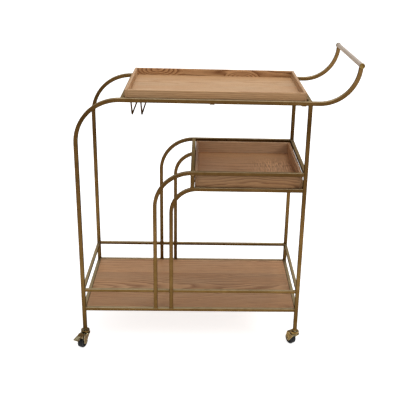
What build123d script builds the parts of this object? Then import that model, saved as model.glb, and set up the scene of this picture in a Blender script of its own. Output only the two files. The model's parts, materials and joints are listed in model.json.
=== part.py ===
from build123d import *
from math import cos, radians, sin
import os

# Bar cart: a frame of bent square tube on four swivel casters, with two lift-out wooden
# trays nested in tube rings, a planked lower shelf behind guard rails, a round handle
# and a pair of wires that stemmed glasses hang from.
# Millimetres. Z is up and the floor is at zero. X runs along the cart towards the handle,
# and Y from the front to the back. The origin is under the middle of the whole outline.

# Tubes, measured outside
frame_tube = 12.5
arch_tube = 12.0
rail_tube = 11.0
guard_tube = 10.0
tube_wall = 1.2
corner_share = 0.16

# Frame layout, between the centre lines of the tubes
leg_span = 700.0
frame_depth = 368.0
top_height = 835.0
mid_top_height = 611.0
mid_low_height = 559.0
base_height = 135.0
guard_rise = 68.5
left_bend_radius = 135.0
handle_bend_start = 25.4
handle_bend_radius = 115.0
handle_sweep = 87.0
arch_length = 465.5
arch_spacing = 51.0
outer_arch_radius = 115.5
inner_arch_radius = 80.0
top_ring_length = 559.0
mid_ring_inset = 116.5

# Handle bar and its caps
bar_diameter = 14.5
bar_wall = 1.2
bar_overhang = 2.0
cap_diameter = 17.0
cap_height = 4.5
cap_round = 2.2
spigot_length = 8.0

# Trays and the planked shelf
tray_wall = 9.0
rim_round = 1.2
floor_thickness = 8.0
floor_gap = 0.25
top_floor_recess = 5.0
mid_floor_recess = 8.0
groove_depth = 3.0
tongue_thickness = 4.0
tray_side_gap = 4.0
top_tray_left_gap = 1.5
top_tray_right_gap = 4.0
mid_tray_end_gap = 1.0
top_tray_height = 34.5
mid_tray_height = 55.0
seat_gap = 0.3
board_gap = 1.0
board_recess = 1.5
back_plank_width = 108.0

# Support tabs and the shelf's screws
tab_length = 15.0
tab_thickness = 2.5
tab_reach = 14.0
tab_lap = 9.4
top_tab_right = 20.0
top_tab_middle = 293.0
cross_tab_spread = 180.0
shelf_tab_length = 22.0
shelf_tab_inset = 11.5
shelf_tab_lap = 2.8
screw_shank = 3.0
screw_head = 7.0
screw_head_height = 1.6
screw_bite = 7.0

# Stemware wires
wire_diameter = 5.0
wire_spacing = 29.0
wire_from_ring = 27.0
wire_drop = 44.0
wire_slant = 29.0
wire_bend = 7.0
wire_rail_offset = 3.0

# Casters
wheel_diameter = 38.0
tyre_width = 17.0
tread_round = 3.2
rim_inner_diameter = 25.0
web_width = 11.0
hub_diameter = 12.0
hub_width = 19.4
axle_diameter = 5.0
axle_head_diameter = 8.6
axle_head_height = 1.8
trail = 18.0
fork_gap = 20.0
fork_plate = 1.8
cheek_root_back = 10.0
cheek_root_front = 10.4
cheek_boss_diameter = 13.5
hood_reach = 25.5
hood_tip_reach = 29.5
hood_tip_height = 29.0
crown_clearance = 6.2
crown_diameter = 32.0
crown_round = 0.7
neck_diameter = 24.4
neck_wall = 1.6
neck_height = 5.4
pin_diameter = 7.0
rivet_head_diameter = 11.0
rivet_head_height = 2.4
cup_diameter = 29.0
cup_height = 4.6
cup_round = 2.0
collar_diameter = 15.0
collar_height = 5.6
collar_round = 1.6
stem_diameter = 6.0
stem_length = 18.0
plug_length = 22.0
swivel_gap = 0.4
running_fit = 0.05
press_gap = 0.1
left_trail_angle = 65.0
right_trail_angle = 56.0

# Brake pedals of the two left casters
pivot_reach = 22.0
pivot_height = 44.0
trunnion_diameter = 4.0
cheek_pivot_diameter = 8.4
ear_diameter = 8.0
ear_thickness = 1.5
ear_root_front = 29.0
pedal_gap = 0.4
pedal_root = 17.8
pedal_root_height = 49.6
pedal_reach = 58.0
pedal_tip_height = 44.6
pedal_thickness = 1.6
pedal_corner = 3.0
rib_count = 5
rib_pitch = 4.6
rib_width = 1.8
rib_height = 0.7
rib_inset = 3.0
brake_travel = 12.0
brake_clearance = 0.35
shoe_diameter = 5.0
shoe_angle = 60.0
shoe_root_front = 34.0

# One overrun for every cut
overrun = 5.0

# Places worked out from the sizes above
half_depth = frame_depth / 2
left_angle = radians(left_trail_angle)
pedal_width = fork_gap - 2 * pedal_gap
pedal_side = pedal_width / 2 - pedal_corner
sweep_angle = radians(handle_sweep)
bar_from_start = handle_bend_radius * sin(sweep_angle) + bar_diameter / 2 * cos(sweep_angle)
bar_rise = handle_bend_radius * (1 - cos(sweep_angle)) + bar_diameter / 2 * sin(sweep_angle)
right_reach = leg_span / 2 + handle_bend_start + bar_from_start + cap_diameter / 2
pedal_out = (pedal_reach - pedal_corner) * cos(left_angle) + pedal_side * sin(left_angle) + pedal_corner
left_reach = leg_span / 2 + pedal_out
middle_x = (left_reach - right_reach) / 2
left_x = middle_x - leg_span / 2
right_x = middle_x + leg_span / 2
mid_ring_length = arch_length - mid_ring_inset
top_ring_x = right_x - top_ring_length
mid_ring_x = right_x - mid_ring_length
outer_arch_x = right_x - arch_length
inner_arch_x = outer_arch_x + arch_spacing
guard_height = base_height + guard_rise
bar_x = right_x + handle_bend_start + bar_from_start
bar_height = top_height + bar_rise

wheel_radius = wheel_diameter / 2
crown_bottom = wheel_diameter + crown_clearance
crown_top = crown_bottom + fork_plate
neck_top = crown_top + neck_height
cup_bottom = neck_top + swivel_gap
cup_top = cup_bottom + cup_height
leg_end = cup_top + collar_height
fork_width = fork_gap + 2 * fork_plate

top_rail_bottom = top_height - frame_tube / 2
mid_rail_bottom = mid_low_height - arch_tube / 2
base_rail_bottom = base_height - rail_tube / 2

# Each caster: its name, place, trail direction in plan, and whether it has a brake
casters = [
    ("front_left", left_x, -half_depth, 180 + left_trail_angle, True),
    ("front_right", right_x, -half_depth, 180 - right_trail_angle, False),
    ("back_left", left_x, half_depth, 180 - left_trail_angle, True),
    ("back_right", right_x, half_depth, 180 + right_trail_angle, False),
]
side_places = [("front", -half_depth), ("back", half_depth)]


def save(part, name):
    part.label = name
    export_step(part, f"parts/{name}.step")


def tube_section(plane, size):
    """The rounded square wall of a tube, drawn on a plane."""
    with BuildSketch(plane) as section:
        RectangleRounded(size, size, size * corner_share)
        Rectangle(size - 2 * tube_wall, size - 2 * tube_wall, mode=Mode.SUBTRACT)
    return section.sketch


def outer_section(plane, size):
    """The outside of a tube's section, filled in, for coping other tubes to it."""
    with BuildSketch(plane) as section:
        RectangleRounded(size, size, size * corner_share)
    return section.sketch


def straight_tube(name, start, end, size):
    """A length of square tube between two points on its centre line."""
    run = Vector(*end) - Vector(*start)
    across = (0, 1, 0) if run.normalized().X > 0.5 else (1, 0, 0)
    with BuildPart() as tube:
        extrude(tube_section(Plane(origin=start, x_dir=across, z_dir=run), size), amount=run.length)
    save(tube.part, name)


def side_tube(side, y):
    """Left leg, top rail and handle arm, bent from one tube and coped to the handle bar."""
    plane = Plane.XZ.offset(-y)
    with BuildPart() as tube:
        with BuildLine(plane) as route:
            leg = Line((left_x, leg_end), (left_x, top_height - left_bend_radius))
            bend = JernArc(leg @ 1, leg % 1, left_bend_radius, -90)
            rail = Line(bend @ 1, (right_x + handle_bend_start, top_height))
            arm = JernArc(rail @ 1, rail % 1, handle_bend_radius, handle_sweep)
            Line(arm @ 1, arm @ 1 + (arm % 1) * (bar_diameter / 2))
        foot = Plane(origin=leg @ 0, x_dir=(1, 0, 0), z_dir=(0, 0, 1))
        sweep(tube_section(foot, frame_tube), path=route.wire())
        with BuildSketch(plane):
            with Locations((bar_x, bar_height)):
                Circle(bar_diameter / 2)
        extrude(amount=frame_tube, both=True, mode=Mode.SUBTRACT)
    save(tube.part, f"{side}_side_tube")


def arch_route(y, x, rail_height, radius):
    """Centre line of an upright that bends over into a shelf rail."""
    with BuildLine(Plane.XZ.offset(-y)) as route:
        upright = Line((x, base_height + rail_tube / 2), (x, rail_height - radius))
        bend = JernArc(upright @ 1, upright % 1, radius, -90)
        Line(bend @ 1, (right_x - frame_tube / 2, rail_height))
    return route.wire()


def arch(name, y, x, rail_height, radius):
    """Upright and shelf rail bent from one tube, from the base rail to the right leg."""
    route = arch_route(y, x, rail_height, radius)
    foot = Plane(origin=route @ 0, x_dir=(1, 0, 0), z_dir=(0, 0, 1))
    with BuildPart() as tube:
        sweep(tube_section(foot, arch_tube), path=route)
    save(tube.part, name)


def shelf_post(side, y):
    """Short post between the two arches at the shelf's corner, coped to both bends."""
    outer = arch_route(y, outer_arch_x, mid_top_height, outer_arch_radius)
    inner = arch_route(y, inner_arch_x, mid_low_height, inner_arch_radius)
    with BuildPart() as post:
        foot = Plane(origin=(mid_ring_x, y, mid_low_height), x_dir=(1, 0, 0), z_dir=(0, 0, 1))
        extrude(tube_section(foot, arch_tube), amount=mid_top_height - mid_low_height)
        for route in (outer, inner):
            foot = Plane(origin=route @ 0, x_dir=(1, 0, 0), z_dir=(0, 0, 1))
            sweep(outer_section(foot, arch_tube), path=route, mode=Mode.SUBTRACT)
    save(post.part, f"{side}_shelf_post")


def guard_rails(side, y):
    """Three lengths of guard rail between the legs and the two uprights."""
    stops = [
        (left_x + frame_tube / 2, outer_arch_x - arch_tube / 2),
        (outer_arch_x + arch_tube / 2, inner_arch_x - arch_tube / 2),
        (inner_arch_x + arch_tube / 2, right_x - frame_tube / 2),
    ]
    with BuildPart() as rails:
        for start, end in stops:
            cut = Plane(origin=(start, y, guard_height), x_dir=(0, 1, 0), z_dir=(1, 0, 0))
            extrude(tube_section(cut, guard_tube), amount=end - start)
    save(rails.part, f"{side}_guard_rails")


def frame_members():
    """Every straight tube of the frame, by its two ends."""
    inside_leg = half_depth - frame_tube / 2
    inside_arch = half_depth - arch_tube / 2
    members = []
    for side, y in side_places:
        members += [
            (f"{side}_right_leg", (right_x, y, leg_end), (right_x, y, top_rail_bottom), frame_tube),
            (
                f"{side}_base_rail",
                (left_x + frame_tube / 2, y, base_height),
                (right_x - frame_tube / 2, y, base_height),
                rail_tube,
            ),
        ]
    cross_rails = [
        ("top_left_cross_rail", top_ring_x, top_rail_bottom + arch_tube / 2, inside_leg, arch_tube),
        ("top_right_cross_rail", right_x, top_rail_bottom + arch_tube / 2, inside_leg, arch_tube),
        ("upper_ring_left_rail", mid_ring_x, mid_top_height, inside_arch, arch_tube),
        ("upper_ring_right_rail", right_x, mid_top_height, inside_leg, arch_tube),
        ("lower_ring_left_rail", mid_ring_x, mid_low_height, inside_arch, arch_tube),
        ("lower_ring_right_rail", right_x, mid_low_height, inside_leg, arch_tube),
        ("left_base_rail", left_x, base_height, inside_leg, rail_tube),
        ("right_base_rail", right_x, base_height, inside_leg, rail_tube),
        ("left_guard_rail", left_x, guard_height, inside_leg, guard_tube),
        ("right_guard_rail", right_x, guard_height, inside_leg, guard_tube),
    ]
    for name, x, z, reach, size in cross_rails:
        members.append((name, (x, -reach, z), (x, reach, z), size))
    return members


def handle():
    """Round bar across the two arms, with a domed cap plugged into each end."""
    half_bar = half_depth + frame_tube / 2 + bar_overhang
    with BuildPart() as bar:
        with BuildSketch(Plane.XZ.offset(-half_bar)):
            with Locations((bar_x, bar_height)):
                Circle(bar_diameter / 2)
                Circle(bar_diameter / 2 - bar_wall, mode=Mode.SUBTRACT)
        extrude(amount=2 * half_bar)
    save(bar.part, "handle_bar")

    with BuildPart() as caps:
        for outward in (-1, 1):
            end = Plane(origin=(bar_x, outward * half_bar, bar_height), z_dir=(0, outward, 0))
            with BuildSketch(end):
                Circle(cap_diameter / 2)
            extrude(amount=cap_height)
            rim = caps.edges().sort_by(Axis.Y)[0 if outward < 0 else -1]
            fillet(rim, cap_round)
            with BuildSketch(end):
                Circle(bar_diameter / 2 - bar_wall - press_gap)
            extrude(amount=-spigot_length)
    save(caps.part, "handle_caps")


def stemware_wires():
    """Two parallel wires slung under the top rails, one each side of a glass's stem."""
    first = top_ring_x + wire_from_ring
    edge = half_depth - wire_rail_offset
    low = top_rail_bottom - wire_drop
    lead = wire_diameter
    lean = wire_slant * lead / wire_drop
    points = [
        (-edge - lean, top_rail_bottom + lead),
        (-edge + wire_slant, low),
        (edge - wire_slant, low),
        (edge + lean, top_rail_bottom + lead),
    ]
    with BuildPart() as wires:
        for x in (first, first + wire_spacing):
            with BuildLine(Plane.YZ.offset(x)) as route:
                FilletPolyline(*points, radius=wire_bend)
            with BuildSketch(Plane(origin=route.wire() @ 0, z_dir=route.wire() % 0)):
                Circle(wire_diameter / 2)
            sweep(path=route.wire())
        split(bisect_by=Plane.XY.offset(top_rail_bottom), keep=Keep.BOTTOM)
    save(wires.part, "stemware_wires")


def tray(name, x_low, x_high, bottom, height, recess):
    """A floor panel tongued into grooves in four walls, the end walls running full depth."""
    half_width = half_depth - frame_tube / 2 - tray_side_gap
    x_mid = (x_low + x_high) / 2
    inner_length = x_high - x_low - 2 * tray_wall
    inner_width = 2 * half_width - 2 * tray_wall
    tongue = (inner_length + 2 * groove_depth, inner_width + 2 * groove_depth, tongue_thickness)
    panel_centre = (x_mid, 0, bottom + recess + floor_thickness / 2)
    with BuildPart() as floor:
        with Locations(panel_centre):
            Box(inner_length - 2 * floor_gap, inner_width - 2 * floor_gap, floor_thickness)
            Box(*tongue)
    save(floor.part, f"{name}_floor")

    long_walls = [("front_wall", -1), ("back_wall", 1)]
    for wall_name, outward in long_walls:
        with BuildPart() as wall:
            with Locations((x_mid, outward * (half_width - tray_wall / 2), bottom + height / 2)):
                Box(inner_length, tray_wall, height)
            fillet(wall.edges().filter_by(Axis.X).group_by(Axis.Z)[-1], rim_round)
            with Locations(panel_centre):
                Box(*tongue, mode=Mode.SUBTRACT)
        save(wall.part, f"{name}_{wall_name}")

    end_walls = [("left_wall", x_low + tray_wall / 2), ("right_wall", x_high - tray_wall / 2)]
    for wall_name, x in end_walls:
        with BuildPart() as wall:
            with Locations((x, 0, bottom + height / 2)):
                Box(tray_wall, 2 * half_width, height)
            fillet(wall.edges().filter_by(Axis.Y).group_by(Axis.Z)[-1], rim_round)
            with Locations(panel_centre):
                Box(*tongue, mode=Mode.SUBTRACT)
        save(wall.part, f"{name}_{wall_name}")


def rail_tabs(rows, size, rail_bottom, lap):
    """Middles of the tabs under the front and back rails, a pair at each x in the rows."""
    y = half_depth - size / 2 + (lap - tab_reach) / 2
    return [(x, outward * y, rail_bottom - tab_thickness / 2) for x in rows for outward in (-1, 1)]


def cross_tabs(x, inward, rail_bottom):
    """Middles of the two tabs under a cross rail, which reach inward from it."""
    x_tab = x + inward * (arch_tube / 2 + (tab_reach - tab_lap) / 2)
    z = rail_bottom - tab_thickness / 2
    return [(x_tab, outward * cross_tab_spread / 2, z) for outward in (-1, 1)]


def tray_tabs():
    """Flat plates welded under the two rings, which the trays rest on."""
    rows = (right_x - top_tab_middle, right_x - top_tab_right)
    with BuildPart() as top_tabs:
        with Locations(*rail_tabs(rows, frame_tube, top_rail_bottom, tab_lap)):
            Box(tab_length, tab_reach + tab_lap, tab_thickness)
        with Locations(*cross_tabs(top_ring_x, 1, top_rail_bottom)):
            Box(tab_reach + tab_lap, tab_length, tab_thickness)
    save(top_tabs.part, "top_tray_tabs")

    left_tabs = cross_tabs(mid_ring_x, 1, mid_rail_bottom)
    right_tabs = cross_tabs(right_x, -1, mid_rail_bottom)
    with BuildPart() as mid_tabs:
        with Locations(*left_tabs, *right_tabs):
            Box(tab_reach + tab_lap, tab_length, tab_thickness)
    save(mid_tabs.part, "mid_tray_tabs")


def shelf_tab_rows():
    """Middles of the shelf's tabs along the base rails."""
    reach = leg_span / 2 - frame_tube / 2 - shelf_tab_inset
    return [middle_x - reach, middle_x, middle_x + reach]


def shelf_tabs():
    """Drilled plates welded under the base rails, which the planks are screwed to."""
    with BuildPart() as tabs:
        with Locations(*rail_tabs(shelf_tab_rows(), rail_tube, base_rail_bottom, shelf_tab_lap)):
            Box(shelf_tab_length, tab_reach + shelf_tab_lap, tab_thickness)
        with Locations(*screw_places()):
            Cylinder(screw_shank / 2 + press_gap, board_thickness(), mode=Mode.SUBTRACT)
    save(tabs.part, "shelf_tabs")


def board_thickness():
    return rail_tube - board_recess


def screw_places():
    """Middles of the shelf's screws at the underside of the planks."""
    y = half_depth - rail_tube / 2 - board_gap - (tab_reach - board_gap) / 2
    return [(x, outward * y, base_rail_bottom) for x in shelf_tab_rows() for outward in (-1, 1)]


def shelf_planks():
    """Two planks butted edge to edge inside the base rails."""
    edge = half_depth - rail_tube / 2 - board_gap
    length = leg_span - rail_tube - 2 * board_gap
    seam = edge - back_plank_width
    for name, y_low, y_high in [("front_plank", -edge, seam), ("back_plank", seam, edge)]:
        with BuildPart() as plank:
            with Locations((middle_x, (y_low + y_high) / 2, base_rail_bottom + board_thickness() / 2)):
                Box(length, y_high - y_low, board_thickness())
            with Locations(*screw_places()):
                Cylinder(screw_shank / 2, 2 * screw_bite, mode=Mode.SUBTRACT)
        save(plank.part, name)


def shelf_screws():
    """Pan head screws up through the tabs into the planks."""
    head_top = base_rail_bottom - tab_thickness
    with BuildPart() as screws:
        with BuildSketch(Plane.XY.offset(head_top - screw_head_height)):
            with Locations(*[place[:2] for place in screw_places()]):
                Circle(screw_head / 2)
        extrude(amount=screw_head_height)
        fillet(screws.edges().group_by(Axis.Z)[0], screw_head_height / 2)
        with BuildSketch(Plane.XY.offset(head_top)):
            with Locations(*[place[:2] for place in screw_places()]):
                Circle(screw_shank / 2)
        extrude(amount=tab_thickness + screw_bite)
    save(screws.part, "shelf_screws")


def trail_plane(x, y, angle):
    """Upright plane through a caster's swivel axis, with its x along the trail."""
    turn = radians(angle)
    return Plane(origin=(x, y, 0), x_dir=(cos(turn), sin(turn), 0), z_dir=(sin(turn), -cos(turn), 0))


def leg_plugs():
    """Plastic plugs in the open leg ends, bored for the caster stems."""
    width = frame_tube - 2 * tube_wall - 2 * press_gap
    with BuildPart() as plugs:
        with BuildSketch(Plane.XY.offset(leg_end)):
            with Locations(*[(x, y) for _, x, y, _, _ in casters]):
                Rectangle(width, width)
                Circle(stem_diameter / 2 + running_fit, mode=Mode.SUBTRACT)
        extrude(amount=plug_length)
    save(plugs.part, "leg_plugs")


def caster_stems():
    """Turned stems: screw, collar, raceway cup and the riveted swivel pin below it."""
    head_top = crown_bottom - swivel_gap
    outline = [
        (0, head_top - rivet_head_height),
        (rivet_head_diameter / 2, head_top - rivet_head_height),
        (rivet_head_diameter / 2, head_top),
        (pin_diameter / 2, head_top),
        (pin_diameter / 2, cup_bottom),
        (cup_diameter / 2, cup_bottom),
        (cup_diameter / 2, cup_top),
        (collar_diameter / 2, cup_top),
        (collar_diameter / 2, leg_end),
        (stem_diameter / 2, leg_end),
        (stem_diameter / 2, leg_end + stem_length),
        (0, leg_end + stem_length),
    ]
    with BuildPart() as stems:
        for _, x, y, angle, _ in casters:
            with BuildSketch(trail_plane(x, y, angle)):
                with BuildLine():
                    Polyline(*outline, close=True)
                make_face()
            revolve(axis=Axis((x, y, 0), (0, 0, 1)))
        circles = stems.edges().filter_by(GeomType.CIRCLE)
        fillet([edge for edge in circles if at_ring(edge, cup_diameter, cup_top)], cup_round)
        circles = stems.edges().filter_by(GeomType.CIRCLE)
        fillet([edge for edge in circles if at_ring(edge, collar_diameter, leg_end)], collar_round)
    save(stems.part, "caster_stems")


def at_ring(edge, diameter, height):
    """True for a level circle of this size at this height."""
    tolerance = running_fit / 2
    return abs(edge.radius - diameter / 2) < tolerance and abs(edge.center().Z - height) < tolerance


def swivel_rings():
    """Bearing rings between the fork's neck and the swivel pin."""
    with BuildPart() as rings:
        with BuildSketch(Plane.XY.offset(crown_top + swivel_gap)):
            with Locations(*[(x, y) for _, x, y, _, _ in casters]):
                Circle(neck_diameter / 2 - neck_wall - swivel_gap)
                Circle(pin_diameter / 2 + running_fit, mode=Mode.SUBTRACT)
        extrude(amount=cup_bottom - crown_top - swivel_gap)
    save(rings.part, "swivel_rings")


def cheek_profile(side, front):
    """Side view of a fork cheek, from the crown down its front edge and round the axle."""
    with BuildSketch(side) as profile:
        with BuildLine():
            Line((-cheek_root_back, crown_bottom), (-cheek_root_back, crown_top))
            Polyline((-cheek_root_back, crown_top), *front)
            CenterArc((trail, wheel_radius), cheek_boss_diameter / 2, 0, 360)
        make_hull()
    return profile.sketch


def pivot_lug_profile(side):
    """Side view of the lug that carries a pedal's pivot, in front of the crown."""
    with BuildSketch(side) as profile:
        with BuildLine():
            Line((cheek_root_front, crown_bottom), (cheek_root_front, crown_top))
            CenterArc((trail, wheel_radius), cheek_boss_diameter / 2, 0, 360)
            CenterArc((pivot_reach, pivot_height), cheek_pivot_diameter / 2, 0, 360)
        make_hull()
    return profile.sketch


def fork(name, x, y, angle, braked):
    """Stamped fork: round crown with a raised neck, and two cheeks that carry the axle.

    Without a pedal the crown runs on as a hood over the wheel.
    """
    side = trail_plane(x, y, angle)
    front = [(cheek_root_front, crown_top)]
    if not braked:
        front = [(hood_reach, crown_top), (hood_tip_reach, hood_tip_height)]
    with BuildPart() as body:
        with BuildSketch(Plane.XY.offset(crown_bottom)):
            with Locations((x, y)):
                Circle(crown_diameter / 2)
        extrude(amount=fork_plate)
        fillet(body.edges().group_by(Axis.Z)[-1], crown_round)
        if not braked:
            with BuildSketch(side):
                with Locations((hood_reach / 2, crown_bottom + fork_plate / 2)):
                    Rectangle(hood_reach, fork_plate)
            extrude(amount=(fork_gap + fork_plate) / 2, both=True)
        for outward in (-1, 1):
            inside = side.offset(outward * fork_gap / 2)
            extrude(cheek_profile(inside, front), amount=outward * fork_plate)
            if braked:
                extrude(pivot_lug_profile(inside), amount=outward * fork_plate)
        with BuildSketch(Plane.XY.offset(crown_top)):
            with Locations((x, y)):
                Circle(neck_diameter / 2)
                Circle(neck_diameter / 2 - neck_wall, mode=Mode.SUBTRACT)
        extrude(amount=neck_height)
        with BuildSketch(Plane.XY.offset(crown_bottom - overrun)):
            with Locations((x, y)):
                Circle(pin_diameter / 2 + running_fit)
        extrude(amount=fork_plate + 2 * overrun, mode=Mode.SUBTRACT)
        with BuildSketch(side):
            with Locations((trail, wheel_radius)):
                Circle(axle_diameter / 2)
            if braked:
                with Locations((pivot_reach, pivot_height)):
                    Circle(trunnion_diameter / 2 + running_fit)
        extrude(amount=fork_width / 2 + overrun, both=True, mode=Mode.SUBTRACT)
    save(body.part, f"{name}_fork")


def axle_plane(x, y, angle):
    """Plane along the axle, with its x across the wheel and its y upwards."""
    turn = radians(angle)
    centre = (x + trail * cos(turn), y + trail * sin(turn), wheel_radius)
    return Plane(origin=centre, x_dir=(-sin(turn), cos(turn), 0), z_dir=(cos(turn), sin(turn), 0))


def axle(name, x, y, angle):
    """Riveted axle, with a domed head outside each cheek."""
    plane = axle_plane(x, y, angle)
    half_fork = fork_width / 2
    head = axle_head_diameter / 2
    with BuildPart() as pin:
        with BuildSketch(plane):
            with BuildLine():
                Polyline(
                    (0, 0),
                    (half_fork + axle_head_height, 0),
                    (half_fork + axle_head_height, head / 2),
                    (half_fork, head),
                    (half_fork, axle_diameter / 2),
                    (0, axle_diameter / 2),
                    close=True,
                )
            make_face()
            mirror(about=Plane.YZ)
        revolve(axis=Axis(plane.origin, plane.x_dir))
    save(pin.part, f"{name}_axle")


def wheel(name, x, y, angle):
    """Moulded wheel: hub, thin web and a round-shouldered tread."""
    plane = axle_plane(x, y, angle)
    with BuildPart() as disc:
        with BuildSketch(plane):
            with BuildLine():
                Polyline(
                    (0, axle_diameter / 2 + running_fit),
                    (hub_width / 2, axle_diameter / 2 + running_fit),
                    (hub_width / 2, hub_diameter / 2),
                    (web_width / 2, hub_diameter / 2),
                    (web_width / 2, rim_inner_diameter / 2),
                    (tyre_width / 2, rim_inner_diameter / 2),
                    (tyre_width / 2, wheel_radius),
                    (0, wheel_radius),
                    close=True,
                )
            make_face()
            mirror(about=Plane.YZ)
        revolve(axis=Axis(plane.origin, plane.x_dir))
        fillet(disc.edges().group_by(SortBy.LENGTH)[-1], tread_round)
    save(disc.part, f"{name}_wheel")


def shoe_centre():
    """Middle of the brake shoe with the pedal up, from its place when it meets the tread."""
    locked = wheel_radius + brake_clearance + shoe_diameter / 2
    reach = trail + locked * cos(radians(shoe_angle)) - pivot_reach
    rise = wheel_radius + locked * sin(radians(shoe_angle)) - pivot_height
    turn = radians(brake_travel)
    return (
        pivot_reach + reach * cos(turn) - rise * sin(turn),
        pivot_height + reach * sin(turn) + rise * cos(turn),
    )


def pedal_underside(reach):
    """Height of the pedal plate's underside at this distance from the swivel axis."""
    slope = (pedal_tip_height - pedal_root_height) / (pedal_reach - pedal_root)
    return pedal_root_height - pedal_thickness + slope * (reach - pedal_root)


def ear_profile(plane):
    """Side view of a pedal ear, from the plate down to its pivot and the brake shoe."""
    front = pedal_underside(ear_root_front)
    with BuildSketch(plane) as profile:
        with BuildLine():
            Line((pedal_root, pedal_underside(pedal_root)), (ear_root_front, front))
            CenterArc((pivot_reach, pivot_height), ear_diameter / 2, 0, 360)
            CenterArc(shoe_centre(), shoe_diameter / 2, 0, 360)
        make_hull()
    return profile.sketch


def pedal(name, x, y, angle):
    """Stamped brake pedal: ribbed plate, two ears with trunnions and the shoe."""
    side = trail_plane(x, y, angle)
    root, tip = pedal_underside(pedal_root), pedal_underside(pedal_reach)
    front = pedal_underside(ear_root_front)
    with BuildPart() as lever:
        with BuildSketch(side):
            with BuildLine():
                Polyline(
                    (pedal_root, root),
                    (pedal_reach, tip),
                    (pedal_reach, tip + pedal_thickness),
                    (pedal_root, root + pedal_thickness),
                    close=True,
                )
            make_face()
        extrude(amount=pedal_width / 2, both=True)
        tips = lever.edges().filter_by(Axis.Z).group_by(Axis(side.origin, side.x_dir))[-1]
        fillet(tips, pedal_corner)
        for index in range(rib_count):
            reach = pedal_reach - rib_inset - rib_pitch * index
            with BuildSketch(side):
                with Locations((reach, pedal_underside(reach) + pedal_thickness)):
                    Rectangle(rib_width, rib_height * 2)
            extrude(amount=pedal_side, both=True)
        for outward in (-1, 1):
            ear = ear_profile(side.offset(outward * pedal_width / 2))
            extrude(ear, amount=-outward * ear_thickness)
        with BuildSketch(side):
            with BuildLine():
                Line((ear_root_front, front), (shoe_root_front, pedal_underside(shoe_root_front)))
                CenterArc(shoe_centre(), shoe_diameter / 2, 0, 360)
            make_hull()
        extrude(amount=pedal_width / 2, both=True)
        with BuildSketch(side):
            with Locations((pivot_reach, pivot_height)):
                Circle(trunnion_diameter / 2)
        extrude(amount=fork_width / 2 + fork_plate / 3, both=True)
    save(lever.part, f"{name}_brake_pedal")


os.makedirs("parts", exist_ok=True)

for side_name, side_y in side_places:
    side_tube(side_name, side_y)
    arch(f"{side_name}_outer_arch", side_y, outer_arch_x, mid_top_height, outer_arch_radius)
    arch(f"{side_name}_inner_arch", side_y, inner_arch_x, mid_low_height, inner_arch_radius)
    shelf_post(side_name, side_y)
    guard_rails(side_name, side_y)
for member in frame_members():
    straight_tube(*member)
handle()
stemware_wires()

tray(
    "top_tray",
    top_ring_x + arch_tube / 2 + top_tray_left_gap,
    right_x - arch_tube / 2 - top_tray_right_gap,
    top_rail_bottom + seat_gap,
    top_tray_height,
    top_floor_recess,
)
tray(
    "mid_tray",
    mid_ring_x + arch_tube / 2 + mid_tray_end_gap,
    right_x - arch_tube / 2 - mid_tray_end_gap,
    mid_rail_bottom + seat_gap,
    mid_tray_height,
    mid_floor_recess,
)
tray_tabs()
shelf_tabs()
shelf_planks()
shelf_screws()

leg_plugs()
caster_stems()
swivel_rings()
for caster_name, caster_x, caster_y, caster_angle, braked in casters:
    fork(caster_name, caster_x, caster_y, caster_angle, braked)
    axle(caster_name, caster_x, caster_y, caster_angle)
    wheel(caster_name, caster_x, caster_y, caster_angle)
    if braked:
        pedal(caster_name, caster_x, caster_y, caster_angle)
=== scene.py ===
import json
import random
from math import copysign, cos, pi, radians, sin

import bmesh
import bpy
from mathutils import Matrix, Vector

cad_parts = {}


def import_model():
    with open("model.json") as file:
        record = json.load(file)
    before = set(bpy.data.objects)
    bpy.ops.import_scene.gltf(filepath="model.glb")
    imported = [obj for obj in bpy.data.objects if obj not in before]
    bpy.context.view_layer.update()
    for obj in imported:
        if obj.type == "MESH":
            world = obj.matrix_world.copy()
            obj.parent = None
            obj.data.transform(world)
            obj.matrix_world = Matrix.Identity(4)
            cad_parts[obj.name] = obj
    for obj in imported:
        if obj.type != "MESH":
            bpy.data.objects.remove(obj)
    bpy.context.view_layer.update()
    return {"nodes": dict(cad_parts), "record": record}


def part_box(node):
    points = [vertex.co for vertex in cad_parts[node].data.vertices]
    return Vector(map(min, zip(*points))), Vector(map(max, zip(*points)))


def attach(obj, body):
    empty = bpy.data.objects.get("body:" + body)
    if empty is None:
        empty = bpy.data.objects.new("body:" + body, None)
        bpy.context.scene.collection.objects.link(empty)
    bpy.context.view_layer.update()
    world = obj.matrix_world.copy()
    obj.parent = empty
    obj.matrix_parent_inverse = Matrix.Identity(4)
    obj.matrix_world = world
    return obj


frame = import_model()

nodes = frame["nodes"]

X, Y, Z = 0, 1, 2


# Camera, solved from the photograph's straight tubes. Metres, degrees and millimetres of film.

CAMERA_PLACE = (-0.032804, -2.216452, 1.315987)
CAMERA_YAW, CAMERA_PITCH, CAMERA_ROLL = 2.445, 21.041, -1.694
FILM_WIDTH = 36.0
FOCAL_SHARE = 1.75209
CENTRE_SHIFT = (-0.070232, -0.0069)
CLIP_RANGE = (0.05, 100)


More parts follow.
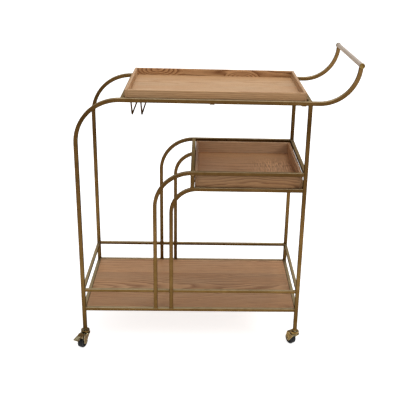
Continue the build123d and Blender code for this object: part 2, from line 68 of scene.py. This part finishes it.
def make_camera():
    yaw, pitch, roll = (radians(angle) for angle in (CAMERA_YAW, CAMERA_PITCH, CAMERA_ROLL))
    forward = Vector((sin(yaw) * cos(pitch), cos(yaw) * cos(pitch), -sin(pitch)))
    level = Vector((cos(yaw), -sin(yaw), 0))
    down = forward.cross(level)
    right = cos(roll) * level + sin(roll) * down
    up = sin(roll) * level - cos(roll) * down
    data = bpy.data.cameras.new("camera")
    data.sensor_width = FILM_WIDTH
    data.lens = FILM_WIDTH * FOCAL_SHARE
    data.shift_x, data.shift_y = CENTRE_SHIFT
    data.clip_start, data.clip_end = CLIP_RANGE
    camera = bpy.data.objects.new("camera", data)
    camera.location = CAMERA_PLACE
    camera.rotation_mode = "QUATERNION"
    camera.rotation_quaternion = Matrix((right, up, -forward)).transposed().to_quaternion()
    bpy.context.scene.collection.objects.link(camera)
    bpy.context.scene.camera = camera


# Node helpers

# The Mix node's own numbers for its two colours and for the mixed one
MIX_FIRST, MIX_SECOND, MIX_RESULT = 6, 7, 2


def new_material(name):
    material = bpy.data.materials.new(name)
    material.use_nodes = True
    tree = material.node_tree
    tree.nodes.clear()
    return material, tree


def feed(tree, socket, value):
    """Sets an input from a plain value or another node's output socket."""
    if isinstance(value, bpy.types.NodeSocket):
        tree.links.new(value, socket)
    else:
        socket.default_value = value


def add(tree, kind, settings=None, **inputs):
    """Adds a node. An input goes by its name, with _ for each space, or by its number, as i0."""
    made = tree.nodes.new("ShaderNode" + kind)
    for key, value in (settings or {}).items():
        setattr(made, key, value)
    for key, value in inputs.items():
        numbered = key[0] == "i" and key[1:].isdigit()
        feed(tree, made.inputs[int(key[1:]) if numbered else key.replace("_", " ")], value)
    return made


def maths(tree, operation, *values):
    made = add(tree, "Math", {"operation": operation})
    for socket, value in zip(made.inputs, values):
        feed(tree, socket, value)
    return made.outputs[0]


def times(tree, a, b):
    return maths(tree, "MULTIPLY", a, b)


def line(tree, value, gain, base):
    """value * gain + base."""
    return maths(tree, "MULTIPLY_ADD", value, gain, base)


def axes_of(tree, vector):
    return add(tree, "SeparateXYZ", None, Vector=vector).outputs


def object_place(tree):
    return add(tree, "TexCoord").outputs["Object"]


def ramp(tree, value, stops):
    """Colour ramp. stops is a list of (place, colour)."""
    made = add(tree, "ValToRGB", None, Fac=value)
    points = made.color_ramp.elements
    while len(points) < len(stops):
        points.new(1.0)
    for point, (place, colour) in zip(points, stops):
        point.position = place
        point.color = (*colour, 1.0)
    return made.outputs["Color"]


def blend_colours(tree, share, first, second, kind="MIX"):
    made = tree.nodes.new("ShaderNodeMix")
    made.data_type = "RGBA"
    made.blend_type = kind
    feed(tree, made.inputs["Factor"], share)
    for number, colour in ((MIX_FIRST, first), (MIX_SECOND, second)):
        feed(tree, made.inputs[number], (*colour, 1.0) if isinstance(colour, tuple) else colour)
    return made.outputs[MIX_RESULT]


def grey(tree, value, low, high):
    """Maps the range from low to high to 0..1."""
    made = add(tree, "MapRange", {"clamp": True}, Value=value, From_Min=low, From_Max=high)
    return made.outputs[0]


def noise(tree, place, scale, detail=2.0, roughness=0.5):
    """Noise over a stretched space. scale is a number or one for each axis, per metre."""
    if isinstance(scale, tuple):
        place = add(tree, "Mapping", None, Vector=place, Scale=scale).outputs[0]
        scale = 1.0
    return add(tree, "TexNoise", None, Vector=place, Scale=scale, Detail=detail, Roughness=roughness).outputs


BEVEL_SAMPLES = 4
EDGE_START = 0.01


def worn_edges(tree, radius, strength=0.12):
    """Share of edge at each point, and the normal rounded over the edges."""
    rounded = add(tree, "Bevel", {"samples": BEVEL_SAMPLES}, Radius=radius).outputs[0]
    flat = add(tree, "NewGeometry").outputs["Normal"]
    facing = add(tree, "VectorMath", {"operation": "DOT_PRODUCT"}, i0=rounded, i1=flat).outputs["Value"]
    return grey(tree, maths(tree, "SUBTRACT", 1.0, facing), EDGE_START, strength), rounded


def surface(tree, **inputs):
    shader = add(tree, "BsdfPrincipled", None, **inputs)
    out = add(tree, "OutputMaterial")
    tree.links.new(shader.outputs[0], out.inputs["Surface"])
    return shader


def scaled(colour, share):
    return tuple(c * share for c in colour)


# Wood. Scales are per metre along and across the board, ranges and shares run from 0 to 1.

SWAY_SCALE = (5.0, 16.0, 16.0)
PATCH_SCALE = (3.0, 16.0, 16.0)
FIBRE = {"scale": (16.0, 420.0, 420.0), "detail": 3.0, "roughness": 0.6}
PORE = {"scale": (45.0, 1500.0, 1500.0), "detail": 1.0}
FLECK = {"scale": (260.0, 26.0, 26.0), "detail": 1.0}

# Darkness through one ring, from dark late wood to pale early wood
RING_TONES = [(0.0, 0.7), (0.1, 1.0), (0.36, 0.42), (0.62, 0.12), (0.92, 0.0), (1.0, 0.7)]
RAGGED_SHARE = 0.5
STREAK_RANGE = (0.3, 0.72)
PATCH_RANGE = (0.3, 0.7)
SHADE_BY_PATCH = (1.1, 0.35)
COOL_TINT, WARM_TINT = (0.92, 0.94, 0.97), (1.05, 1.0, 0.95)

PORE_RANGE = (0.52, 0.68)
PORES_BY_RING = (0.75, 0.25)
PORE_DARKENING = 0.45

PALE_FLECK_RANGE, PALE_FLECK_SHADE = (0.55, 0.66), 1.16
DARK_FLECK_RANGE, DARK_FLECK_SHADE = (0.46, 0.30), 1.3
FLECK_CORE = 0.3

BOARD_EDGE, BOARD_EDGE_STRENGTH = 0.0012, 0.2
RUBBED_SHARE, RUBBED_SHADE = 0.35, 1.12
WOOD_ROUGHNESS, ROUGHER_IN_RINGS, ROUGHER_IN_PORES = 0.5, 0.08, 0.2
RING_DEPTH = 0.3
WOOD_BUMP = {"Strength": 0.35, "Distance": 0.0004}
WOOD_SHEEN = 0.2


def ring_radius(tree, place, sways, hearts, sway, pitch):
    """Distance to the nearest heart. The growth rings are its steps."""
    def wander(share):
        return line(tree, share, sway * 2, -sway)

    axes = axes_of(tree, place)
    radius = None
    for x, y, z, closing, slope in hearts:
        ahead = maths(tree, "SUBTRACT", axes[X], x)
        across = maths(tree, "ADD", maths(tree, "SUBTRACT", axes[Y], y), wander(sways[Y]))
        below = maths(tree, "ADD", maths(tree, "SUBTRACT", axes[Z], z), wander(sways[Z]))
        below = line(tree, ahead, slope, below)
        closed = times(tree, ahead, closing)
        total = times(tree, closed, closed)
        for offset in (across, below):
            total = maths(tree, "ADD", total, times(tree, offset, offset))
        reach = maths(tree, "SQRT", total)
        radius = reach if radius is None else maths(tree, "SMOOTH_MIN", radius, reach, pitch)
    return radius


def ring_tone(tree, radius, fibre, pitch):
    """Darkness of the growth rings, ragged along the fibres."""
    ragged = line(tree, fibre, pitch * RAGGED_SHARE, radius)
    ring = maths(tree, "FRACT", maths(tree, "DIVIDE", ragged, pitch))
    tone = ramp(tree, ring, [(place, (darkness,) * 3) for place, darkness in RING_TONES])
    return add(tree, "RGBToBW", None, Color=tone).outputs[0]


def flecked(tree, colour, place, moved, light, dark, fleck):
    """The colour with short cross-grain flecks that fade out from a centre."""
    centre, reach = fleck
    away = add(tree, "VectorMath", {"operation": "DISTANCE"}, i0=place, i1=centre).outputs["Value"]
    inside = grey(tree, away, reach, reach * FLECK_CORE)
    ray = noise(tree, moved, **FLECK)["Fac"]
    pale = times(tree, grey(tree, ray, *PALE_FLECK_RANGE), inside)
    colour = blend_colours(tree, pale, colour, scaled(light, PALE_FLECK_SHADE))
    deep = times(tree, grey(tree, ray, *DARK_FLECK_RANGE), inside)
    return blend_colours(tree, deep, colour, scaled(dark, DARK_FLECK_SHADE))


def wood(name, light, dark, hearts, seed, along="X", sway=0.01, pitch=0.006, figure=0.6, streaks=0.3,
         fleck=None):
    """Flat-sawn ash: growth rings round long hearts, fibre streaks, pores and slow colour drift.

    A heart is its place, how much its rings close along the board, and how steeply it leaves the face.
    sway is how far the rings wander and pitch how far apart they are, both in metres.
    figure and streaks are how strongly the rings and the fibres show.
    fleck is the centre and reach of a patch of short cross-grain flecks.
    """
    material, tree = new_material(name)
    place = object_place(tree)
    if along == "Y":
        place = add(tree, "Mapping", None, Vector=place, Rotation=(0, 0, -pi / 2)).outputs[0]
    moved = add(tree, "Mapping", None, Vector=place, Location=(seed, seed / 3, 0)).outputs[0]
    sways = add(tree, "SeparateColor", None, Color=noise(tree, moved, SWAY_SCALE)["Color"]).outputs
    fibre = noise(tree, moved, **FIBRE)["Fac"]
    patch = noise(tree, moved, PATCH_SCALE)["Fac"]
    pore = noise(tree, moved, **PORE)["Fac"]

    tone = ring_tone(tree, ring_radius(tree, place, sways, hearts, sway, pitch), fibre, pitch)
    shade = line(tree, tone, figure, times(tree, grey(tree, fibre, *STREAK_RANGE), streaks))
    shade = times(tree, shade, line(tree, patch, *SHADE_BY_PATCH))
    colour = blend_colours(tree, shade, light, dark)
    pores = times(tree, grey(tree, pore, *PORE_RANGE), line(tree, tone, *PORES_BY_RING))
    colour = blend_colours(tree, times(tree, pores, PORE_DARKENING), colour, scaled(dark, PORE_DARKENING))
    tint = blend_colours(tree, grey(tree, patch, *PATCH_RANGE), COOL_TINT, WARM_TINT)
    colour = blend_colours(tree, 1.0, colour, tint, "MULTIPLY")
    if fleck:
        colour = flecked(tree, colour, place, moved, light, dark, fleck)
    edge, rounded = worn_edges(tree, BOARD_EDGE, BOARD_EDGE_STRENGTH)
    colour = blend_colours(tree, times(tree, edge, RUBBED_SHARE), colour, scaled(light, RUBBED_SHADE))

    rough = line(tree, pores, ROUGHER_IN_PORES, line(tree, tone, ROUGHER_IN_RINGS, WOOD_ROUGHNESS))
    height = line(tree, pores, -1.0, times(tree, tone, -RING_DEPTH))
    bump = add(tree, "Bump", None, Height=height, Normal=rounded, **WOOD_BUMP).outputs[0]
    shader = surface(tree, Base_Color=colour, Roughness=rough, Normal=bump)
    shader.inputs["Specular IOR Level"].default_value = WOOD_SHEEN
    return material


# Plated metal

CLOUD = {"detail": 4.0, "roughness": 0.6}
SPECK = {"detail": 2.0, "roughness": 0.7}
SPECKS_PER_CLOUD = 22
SCRATCH_SCALE = (40.0, 900.0, 260.0)
SPECK_SHARE, CLOUD_SHARE = 0.35, 0.75

DRIFT = {"scale": 7.0, "detail": 1.0}
DRIFT_RANGE, DRIFT_SHADE = (0.2, 0.6), 0.9

# The normal's upward part, from faces in full painted shade below to nearly upright ones
UNDERSIDE_RANGE = (-0.75, -0.1)
# The open share of the surroundings, from a deep recess to a free face, for darkening that is part patina and
# part painted shade
RECESS_RANGE = (0.25, 0.9)
RECESS_SAMPLES = 8
# Painted highlight: faces that look up turn towards a pale colour, mottled by the clouds
TOP_HIGHLIGHT_RANGE = (0.3, 0.9)
TOP_HIGHLIGHT_BY_CLOUD = (0.7, 0.5)
WEAR_BY_CLOUD = (0.9, 0.1)

# Clouds and scratches add to a roughness that starts lower by about their mean
ROUGHER_IN_CLOUDS, ROUGHER_IN_SCRATCHES, ROUGHNESS_DROP = 0.16, 0.12, 0.14
SCRATCH_RELIEF = 0.5
METAL_BUMP = {"Strength": 0.12, "Distance": 0.0002}
LACQUER_ROUGHNESS = 0.35


def plated(name, deep, pale, wear, roughness, mottle=60.0, patchy=(0.35, 0.78), painted_light_by_height=None, edge=0.0012,
           recess=0.006, below=0.5, top_highlight=None, graze=(1, 1, 1), lacquer=0.0):
    """Aged plating on metal, mottled from deep to pale, with scratches, with wear along its edges, and with
    painted light and shade.

    mottle is how many clouds go to a metre, and patchy the range of noise in which deep turns to pale.
    tints are heights in metres above the floor and the painted light and shade there.
    edge and recess are how far wear and darkening reach, and below how much of deep is left where faces look
    down, as painted shade, and in recesses, as patina and painted shade.
    settled is the colour of a pale painted highlight on faces that look up, graze the tint seen at a grazing
    angle, and lacquer the share of clear coat.
    """
    material, tree = new_material(name)
    place = object_place(tree)
    cloud = noise(tree, place, mottle, **CLOUD)["Fac"]
    speck = noise(tree, place, mottle * SPECKS_PER_CLOUD, **SPECK)["Fac"]
    scratch = noise(tree, place, SCRATCH_SCALE)["Fac"]
    drift = noise(tree, place, **DRIFT)["Fac"]
    rubbed, rounded = worn_edges(tree, edge)
    upward = axes_of(tree, rounded)[Z]
    open_share = add(tree, "AmbientOcclusion", {"samples": RECESS_SAMPLES}, Distance=recess).outputs["AO"]

    mottled = line(tree, speck, SPECK_SHARE, times(tree, cloud, CLOUD_SHARE))
    colour = blend_colours(tree, grey(tree, mottled, *patchy), deep, pale)
    colour = blend_colours(tree, grey(tree, drift, *DRIFT_RANGE), scaled(deep, DRIFT_SHADE), colour)
    # Painted light and shade: the colour is scaled by height above the floor
    if painted_light_by_height:
        colour = blend_colours(tree, 1.0, colour, ramp(tree, axes_of(tree, place)[Z], painted_light_by_height), "MULTIPLY")
    # Painted shade on faces that look down; in recesses the darkening is part patina and part painted shade
    lit = times(tree, grey(tree, upward, *UNDERSIDE_RANGE), grey(tree, open_share, *RECESS_RANGE))
    colour = blend_colours(tree, lit, scaled(deep, below), colour)
    # Painted highlight on faces that look up, standing in for the bright surroundings they reflect
    if top_highlight:
        top_highlight_share = times(tree, grey(tree, upward, *TOP_HIGHLIGHT_RANGE), line(tree, cloud, *TOP_HIGHLIGHT_BY_CLOUD))
        colour = blend_colours(tree, maths(tree, "MINIMUM", top_highlight_share, 1.0), colour, top_highlight)
    colour = blend_colours(tree, times(tree, rubbed, line(tree, cloud, *WEAR_BY_CLOUD)), colour, wear)

    rough = line(tree, scratch, ROUGHER_IN_SCRATCHES, roughness - ROUGHNESS_DROP)
    rough = line(tree, cloud, ROUGHER_IN_CLOUDS, rough)
    relief = line(tree, scratch, SCRATCH_RELIEF, speck)
    bump = add(tree, "Bump", None, Height=relief, Normal=rounded, **METAL_BUMP).outputs[0]
    shader = surface(tree, Base_Color=colour, Metallic=1.0, Roughness=rough, Normal=bump)
    shader.inputs["Specular Tint"].default_value = (*graze, 1)
    shader.inputs["Coat Weight"].default_value = lacquer
    shader.inputs["Coat Roughness"].default_value = LACQUER_ROUGHNESS
    return material


# Moulded plastic

GRAIN_SCALE = 900.0
SCUFF = {"scale": 160.0, "detail": 4.0, "roughness": 0.7}
SCUFF_RANGE = (0.45, 0.75)
MOULDED_EDGE, MOULDED_EDGE_SHARE = 0.0006, 0.7
ROUGHER_IN_SCUFFS, MOULDED_ROUGHNESS = 0.25, 0.35
GRAIN_BUMP = {"Strength": 0.2, "Distance": 0.0001}
MOULDED_SHEEN = 0.18


def moulded(name, deep, pale):
    """Moulded plastic: fine texture, scuffs and rubbed edges."""
    material, tree = new_material(name)
    place = object_place(tree)
    grain = noise(tree, place, GRAIN_SCALE)["Fac"]
    scuff = noise(tree, place, **SCUFF)["Fac"]
    edge, rounded = worn_edges(tree, MOULDED_EDGE)
    share = maths(tree, "MAXIMUM", grey(tree, scuff, *SCUFF_RANGE), times(tree, edge, MOULDED_EDGE_SHARE))
    colour = blend_colours(tree, share, deep, pale)
    rough = line(tree, scuff, ROUGHER_IN_SCUFFS, MOULDED_ROUGHNESS)
    bump = add(tree, "Bump", None, Height=grain, Normal=rounded, **GRAIN_BUMP).outputs[0]
    shader = surface(tree, Base_Color=colour, Roughness=rough, Normal=bump)
    shader.inputs["Specular IOR Level"].default_value = MOULDED_SHEEN
    return material


def assign(material, name):
    for slot in nodes[name].material_slots:
        slot.material = material


TOP_LIGHT, TOP_DARK = (0.52, 0.33, 0.177), (0.30, 0.15, 0.063)
MID_LIGHT, MID_DARK = (0.46, 0.262, 0.13), (0.22, 0.105, 0.045)
SHELF_LIGHT, SHELF_DARK = (0.55, 0.32, 0.165), (0.25, 0.12, 0.055)

# Each board: its node, light and dark wood, hearts of its rings, and what differs from the usual
# The shares that scale the shared wood tones below, and the mid tray back wall's own tones, are painted light
# and shade that set each board's brightness
BOARDS = [
    ("top_tray_floor", TOP_LIGHT, TOP_DARK, [(0.1, 0.06, 0.70, 0.03, 0)], {"figure": 0.35, "streaks": 0.5}),
    ("top_tray_front_wall", scaled(TOP_LIGHT, 1.07), TOP_DARK, [(0, -0.17, 0.60, 0.01, 0)],
     {"sway": 0.006, "streaks": 0.45}),
    ("top_tray_back_wall", (0.55, 0.325, 0.16), (0.18, 0.07, 0.022),
     [(-0.182, 0.170, 0.860, 0.32, 0), (0.105, 0.168, 0.836, 0.36, 0), (-0.04, 0.187, 0.857, 0.04, 0.02),
      (0.30, 0.188, 0.842, 0.06, 0)],
     {"sway": 0.009, "pitch": 0.0046, "figure": 0.9}),
    # Painted shade: the top tray's side walls get darker wood, the right one most
    ("top_tray_left_wall", scaled(TOP_LIGHT, 0.9), TOP_DARK, [(-0.05, 0.30, 0.85, 0.03, 0)], {"along": "Y"}),
    ("top_tray_right_wall", scaled(TOP_LIGHT, 0.82), TOP_DARK, [(0.1, -0.25, 0.84, 0.03, 0)], {"along": "Y"}),
    # Painted light: the mid tray lies in the top tray's shade, and its boards get paler wood, the back wall
    # most
    ("mid_tray_floor", scaled(MID_LIGHT, 1.3), scaled(MID_DARK, 0.9), [(0.0, -0.02, 0.40, 0.02, 0)],
     {"pitch": 0.007, "figure": 0.3, "streaks": 0.35, "fleck": ((0.215, 0.02, 0.57), 0.10)}),
    ("mid_tray_front_wall", scaled(MID_LIGHT, 1.16), MID_DARK, [(0.1, -0.14, 0.56, 0.08, 0)],
     {"figure": 0.65, "streaks": 0.4}),
    ("mid_tray_back_wall", (0.62, 0.41, 0.25), (0.35, 0.21, 0.115), [(0, 0.2, 0.5, 0.02, 0)],
     {"sway": 0.006, "figure": 0.5, "streaks": 0.45}),
    ("mid_tray_left_wall", scaled(MID_LIGHT, 1.15), MID_DARK, [(0, 0.02, 0.58, 0.03, 0)], {"along": "Y"}),
    ("mid_tray_right_wall", scaled(MID_LIGHT, 1.15), MID_DARK, [(0, -0.25, 0.58, 0.03, 0)], {"along": "Y"}),
    ("front_plank", SHELF_LIGHT, SHELF_DARK,
     [(-0.36, -0.035, 0.105, 0.01, 0.07), (0.31, -0.045, 0.100, 0.01, -0.08)],
     {"sway": 0.012, "pitch": 0.0075, "figure": 0.75, "streaks": 0.4}),
    ("back_plank", scaled(SHELF_LIGHT, 1.11), scaled(SHELF_DARK, 1.3), [(0, 0.2, 0.0, 0.02, 0)],
     {"sway": 0.006, "figure": 0.4, "streaks": 0.5}),
]
FIRST_SEED = 0.3

for number, (node, light, dark, hearts, differences) in enumerate(BOARDS):
    assign(wood(node + "_wood", light, dark, hearts, FIRST_SEED + number, **differences), node)

# Painted light and shade on the tubes: heights in metres above the floor and the scale on the colour there
TUBE_PAINTED_LIGHT_BY_HEIGHT = [(0.1, (0.68, 0.72, 0.62)), (0.25, (0.94, 1.05, 1.0)), (0.38, (0.86, 0.92, 0.84)),
              (0.48, (0.68, 0.70, 0.63)), (0.6, (0.54, 0.55, 0.50)), (0.72, (0.50, 0.50, 0.42)),
              (0.78, (0.36, 0.35, 0.29)), (0.83, (0.56, 0.56, 0.48)), (0.90, (1.05, 1.15, 1.2))]

tube_brass = plated("tube_brass", (0.13, 0.064, 0.020), (0.23, 0.124, 0.045), (0.33, 0.20, 0.08), 0.45,
                    painted_light_by_height=TUBE_PAINTED_LIGHT_BY_HEIGHT, top_highlight=(0.40, 0.32, 0.20), graze=(0.12, 0.09, 0.06))
bar_brass = plated("bar_brass", (0.31, 0.245, 0.195), (0.44, 0.365, 0.305), (0.5, 0.42, 0.34), 0.42,
                   top_highlight=(0.53, 0.47, 0.42), graze=(0.55, 0.45, 0.35), lacquer=0.4)
bright_brass = plated("bright_brass", (0.07, 0.034, 0.008), (0.42, 0.28, 0.09), (1.0, 0.95, 0.62), 0.17,
                      mottle=130.0, patchy=(0.42, 0.70), edge=0.0014, recess=0.010, below=0.3)
screw_steel = plated("screw_steel", (0.45, 0.43, 0.4), (0.6, 0.58, 0.55), (0.75, 0.74, 0.7), 0.3)
wheel_plastic = moulded("wheel_plastic", (0.004, 0.0045, 0.005), (0.012, 0.014, 0.015))
nylon = moulded("nylon", (0.03, 0.03, 0.03), (0.06, 0.06, 0.06))

MATERIAL_OF_SLOT = {"antique_brass": tube_brass, "handle_metal": bar_brass, "bright_brass": bright_brass,
                    "wheel_plastic": wheel_plastic, "nylon": nylon, "screw_steel": screw_steel}

for part in frame["record"]["subparts"]:
    if part["material_slot"] in MATERIAL_OF_SLOT:
        assign(MATERIAL_OF_SLOT[part["material_slot"]], part["node"])


# Weld beads where one tube butts against another

BEAD_LEG = 0.0012
BEAD_STEPS = 44
BEAD_SEED = 7
# Shares of the leg: how much it swings and varies, how deep its root goes, how full its face is
BEAD_WAVE, BEAD_UNEVEN = 0.16, 0.1
BEAD_ROOT, BEAD_BULGE = 0.3, 0.6
# The tube's corner radius as a share of its width, and how close to a diagonal a corner starts
TUBE_CORNER_SHARE = 0.16
CORNER_SPREAD = 0.25


def face_direction(outward):
    """The direction in which a rounded square faces here: square to its sides, free at its corners."""
    if abs(abs(outward.x) - abs(outward.y)) < CORNER_SPREAD:
        return outward
    if abs(outward.x) > abs(outward.y):
        return Vector((copysign(1.0, outward.x), 0))
    return Vector((0, copysign(1.0, outward.y)))


def bead_outline(half):
    """Points and outward directions round a rounded square of this half width."""
    corner = 2 * half * TUBE_CORNER_SHARE
    flat = half - corner
    points = []
    for step in range(BEAD_STEPS):
        angle = 2 * pi * step / BEAD_STEPS
        outward = Vector((cos(angle), sin(angle)))
        core = outward * (flat / max(abs(outward.x), abs(outward.y)))
        nearest = Vector([max(-flat, min(flat, value)) for value in core])
        side = face_direction(outward)
        points.append((nearest + side * corner, side))
    return points


def unit(axis, length=1.0):
    return Vector([length if index == axis else 0.0 for index in (X, Y, Z)])


def add_bead(work, place, axis, sign, half, draws):
    """One fillet bead round a tube's end. The tube leaves the joint along axis, towards sign."""
    along = unit(axis, sign)
    first, second = (unit(other) for other in (X, Y, Z) if other != axis)
    rings = []
    for step, (point, side) in enumerate(bead_outline(half)):
        base = place + first * point.x + second * point.y
        out = first * side.x + second * side.y
        leg = BEAD_LEG * (1 + BEAD_WAVE * sin(step * pi / 2) + draws.uniform(-BEAD_UNEVEN, BEAD_UNEVEN))
        section = (base - out * leg * BEAD_ROOT, base + along * leg, base + (along + out) * leg * BEAD_BULGE,
                   base + out * leg)
        rings.append([work.verts.new(corner) for corner in section])
    for ring, following in zip(rings, rings[1:] + rings[:1]):
        for index in range(len(ring)):
            after = (index + 1) % len(ring)
            work.faces.new((ring[index], ring[after], following[after], following[index]))


def corners_of(name):
    low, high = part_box(name)
    return Vector(low), Vector(high)


def cross_rail_ends():
    ends = []
    for name in nodes:
        if name.endswith("_rail") and not name.startswith(("front_", "back_")):
            low, high = corners_of(name)
            middle, half = (low + high) / 2, (high.z - low.z) / 2
            ends += [(Vector((middle.x, low.y, middle.z)), Y, 1, half),
                     (Vector((middle.x, high.y, middle.z)), Y, -1, half)]
    return ends


def side_ends(side):
    """The welded ends in the cart's front or back side."""
    low, high = corners_of(side + "_right_leg")
    middle = (low + high) / 2
    ends = [(Vector((middle.x, middle.y, high.z)), Z, -1, (high.y - low.y) / 2)]
    feet = []
    for name in (side + "_outer_arch", side + "_inner_arch"):
        low, high = corners_of(name)
        half = (high.y - low.y) / 2
        feet.append((low.x, low.x + 2 * half))
        ends += [(Vector((low.x + half, middle.y, low.z)), Z, 1, half),
                 (Vector((high.x, middle.y, high.z - half)), X, -1, half)]
    for name, stops in ((side + "_base_rail", []), (side + "_guard_rails", feet)):
        low, high = corners_of(name)
        height, half = (low.z + high.z) / 2, (high.z - low.z) / 2
        starts = [low.x] + [stop[1] for stop in stops]
        finishes = [high.x] + [stop[0] for stop in stops]
        ends += [(Vector((x, middle.y, height)), X, 1, half) for x in starts]
        ends += [(Vector((x, middle.y, height)), X, -1, half) for x in finishes]
    return ends


def weld_beads():
    """A bead at each welded tube end, given as its middle, its axis, the way it runs and its half width."""
    draws = random.Random(BEAD_SEED)
    work = bmesh.new()
    for place, axis, sign, half in cross_rail_ends() + side_ends("front") + side_ends("back"):
        add_bead(work, place, axis, sign, half, draws)
    bmesh.ops.recalc_face_normals(work, faces=work.faces)
    data = bpy.data.meshes.new("weld_beads")
    work.to_mesh(data)
    work.free()
    for face in data.polygons:
        face.use_smooth = True
    data.materials.append(tube_brass)
    beads = bpy.data.objects.new("weld_beads", data)
    bpy.context.scene.collection.objects.link(beads)
    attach(beads, "frame")


# Studio

FLOOR_HALF = 30.0
FLOOR_TONES = (0.78,) * 3, (0.82,) * 3
FLOOR_NOISE = {"scale": 3.0, "detail": 3.0}
# The floor's own glow grows with the distance from the cart, so that its shadow stays
GLOW_RANGE = {"From_Min": 0.7, "From_Max": 2.2, "To_Min": 0.75, "To_Max": 1.0}
WHITE = (1, 1, 1, 1)
DIM_WORLD = 0.5

# Each lamp: name, place, size and watts
LAMP_AIM = (0, 0, 0.5)
LAMPS = [
    ("overhead", (0.2, -0.1, 2.8), (2.6, 2.2), 34),
    ("left_front", (-2.6, -2.4, 2.0), (1.6, 2.0), 9),
    ("right_front", (2.6, -1.4, 2.2), (1.0, 1.0), 30),
]


def seen_rays(tree):
    """One for rays that see the surroundings: from the camera, in metal and through glass."""
    path = add(tree, "LightPath").outputs
    seen = maths(tree, "MAXIMUM", path["Is Camera Ray"], path["Is Glossy Ray"])
    return maths(tree, "MAXIMUM", seen, path["Is Transmission Ray"])


def floor_material():
    """Pale for light that falls on it, white to the camera apart from the object's soft shadow."""
    material, tree = new_material("floor_white")
    place = object_place(tree)
    pale = blend_colours(tree, noise(tree, place, **FLOOR_NOISE)["Fac"], *FLOOR_TONES)
    plain = add(tree, "BsdfDiffuse", None, Color=pale).outputs[0]
    away = add(tree, "VectorMath", {"operation": "LENGTH"}, i0=place).outputs["Value"]
    glow = add(tree, "MapRange", {"clamp": True}, Value=away, **GLOW_RANGE).outputs[0]
    shine = add(tree, "Emission", None, Color=WHITE, Strength=glow).outputs[0]
    both = add(tree, "AddShader", None, i0=plain, i1=shine).outputs[0]
    mix = add(tree, "MixShader", None, i0=seen_rays(tree), i1=plain, i2=both).outputs[0]
    add(tree, "OutputMaterial", None, Surface=mix)
    return material


def floor():
    corners = [(FLOOR_HALF * x, FLOOR_HALF * y, 0) for x, y in ((-1, -1), (1, -1), (1, 1), (-1, 1))]
    data = bpy.data.meshes.new("floor")
    data.from_pydata(corners, [], [range(len(corners))])
    data.materials.append(floor_material())
    made = bpy.data.objects.new("floor", data)
    bpy.context.scene.collection.objects.link(made)


def world():
    made = bpy.data.worlds.new("world")
    bpy.context.scene.world = made
    made.use_nodes = True
    tree = made.node_tree
    tree.nodes.clear()
    strength = line(tree, seen_rays(tree), 1 - DIM_WORLD, DIM_WORLD)
    back = add(tree, "Background", None, Color=WHITE, Strength=strength).outputs[0]
    add(tree, "OutputWorld", None, Surface=back)


def lamp(name, place, size, power):
    data = bpy.data.lights.new(name, "AREA")
    data.shape = "RECTANGLE"
    data.size, data.size_y = size
    data.energy = power
    made = bpy.data.objects.new(name, data)
    made.location = place
    made.rotation_mode = "QUATERNION"
    made.rotation_quaternion = (Vector(LAMP_AIM) - Vector(place)).to_track_quat("-Z", "Y")
    bpy.context.scene.collection.objects.link(made)


weld_beads()
make_camera()
floor()
world()
for settings in LAMPS:
    lamp(*settings)

bpy.context.scene.view_settings.view_transform = "Standard"
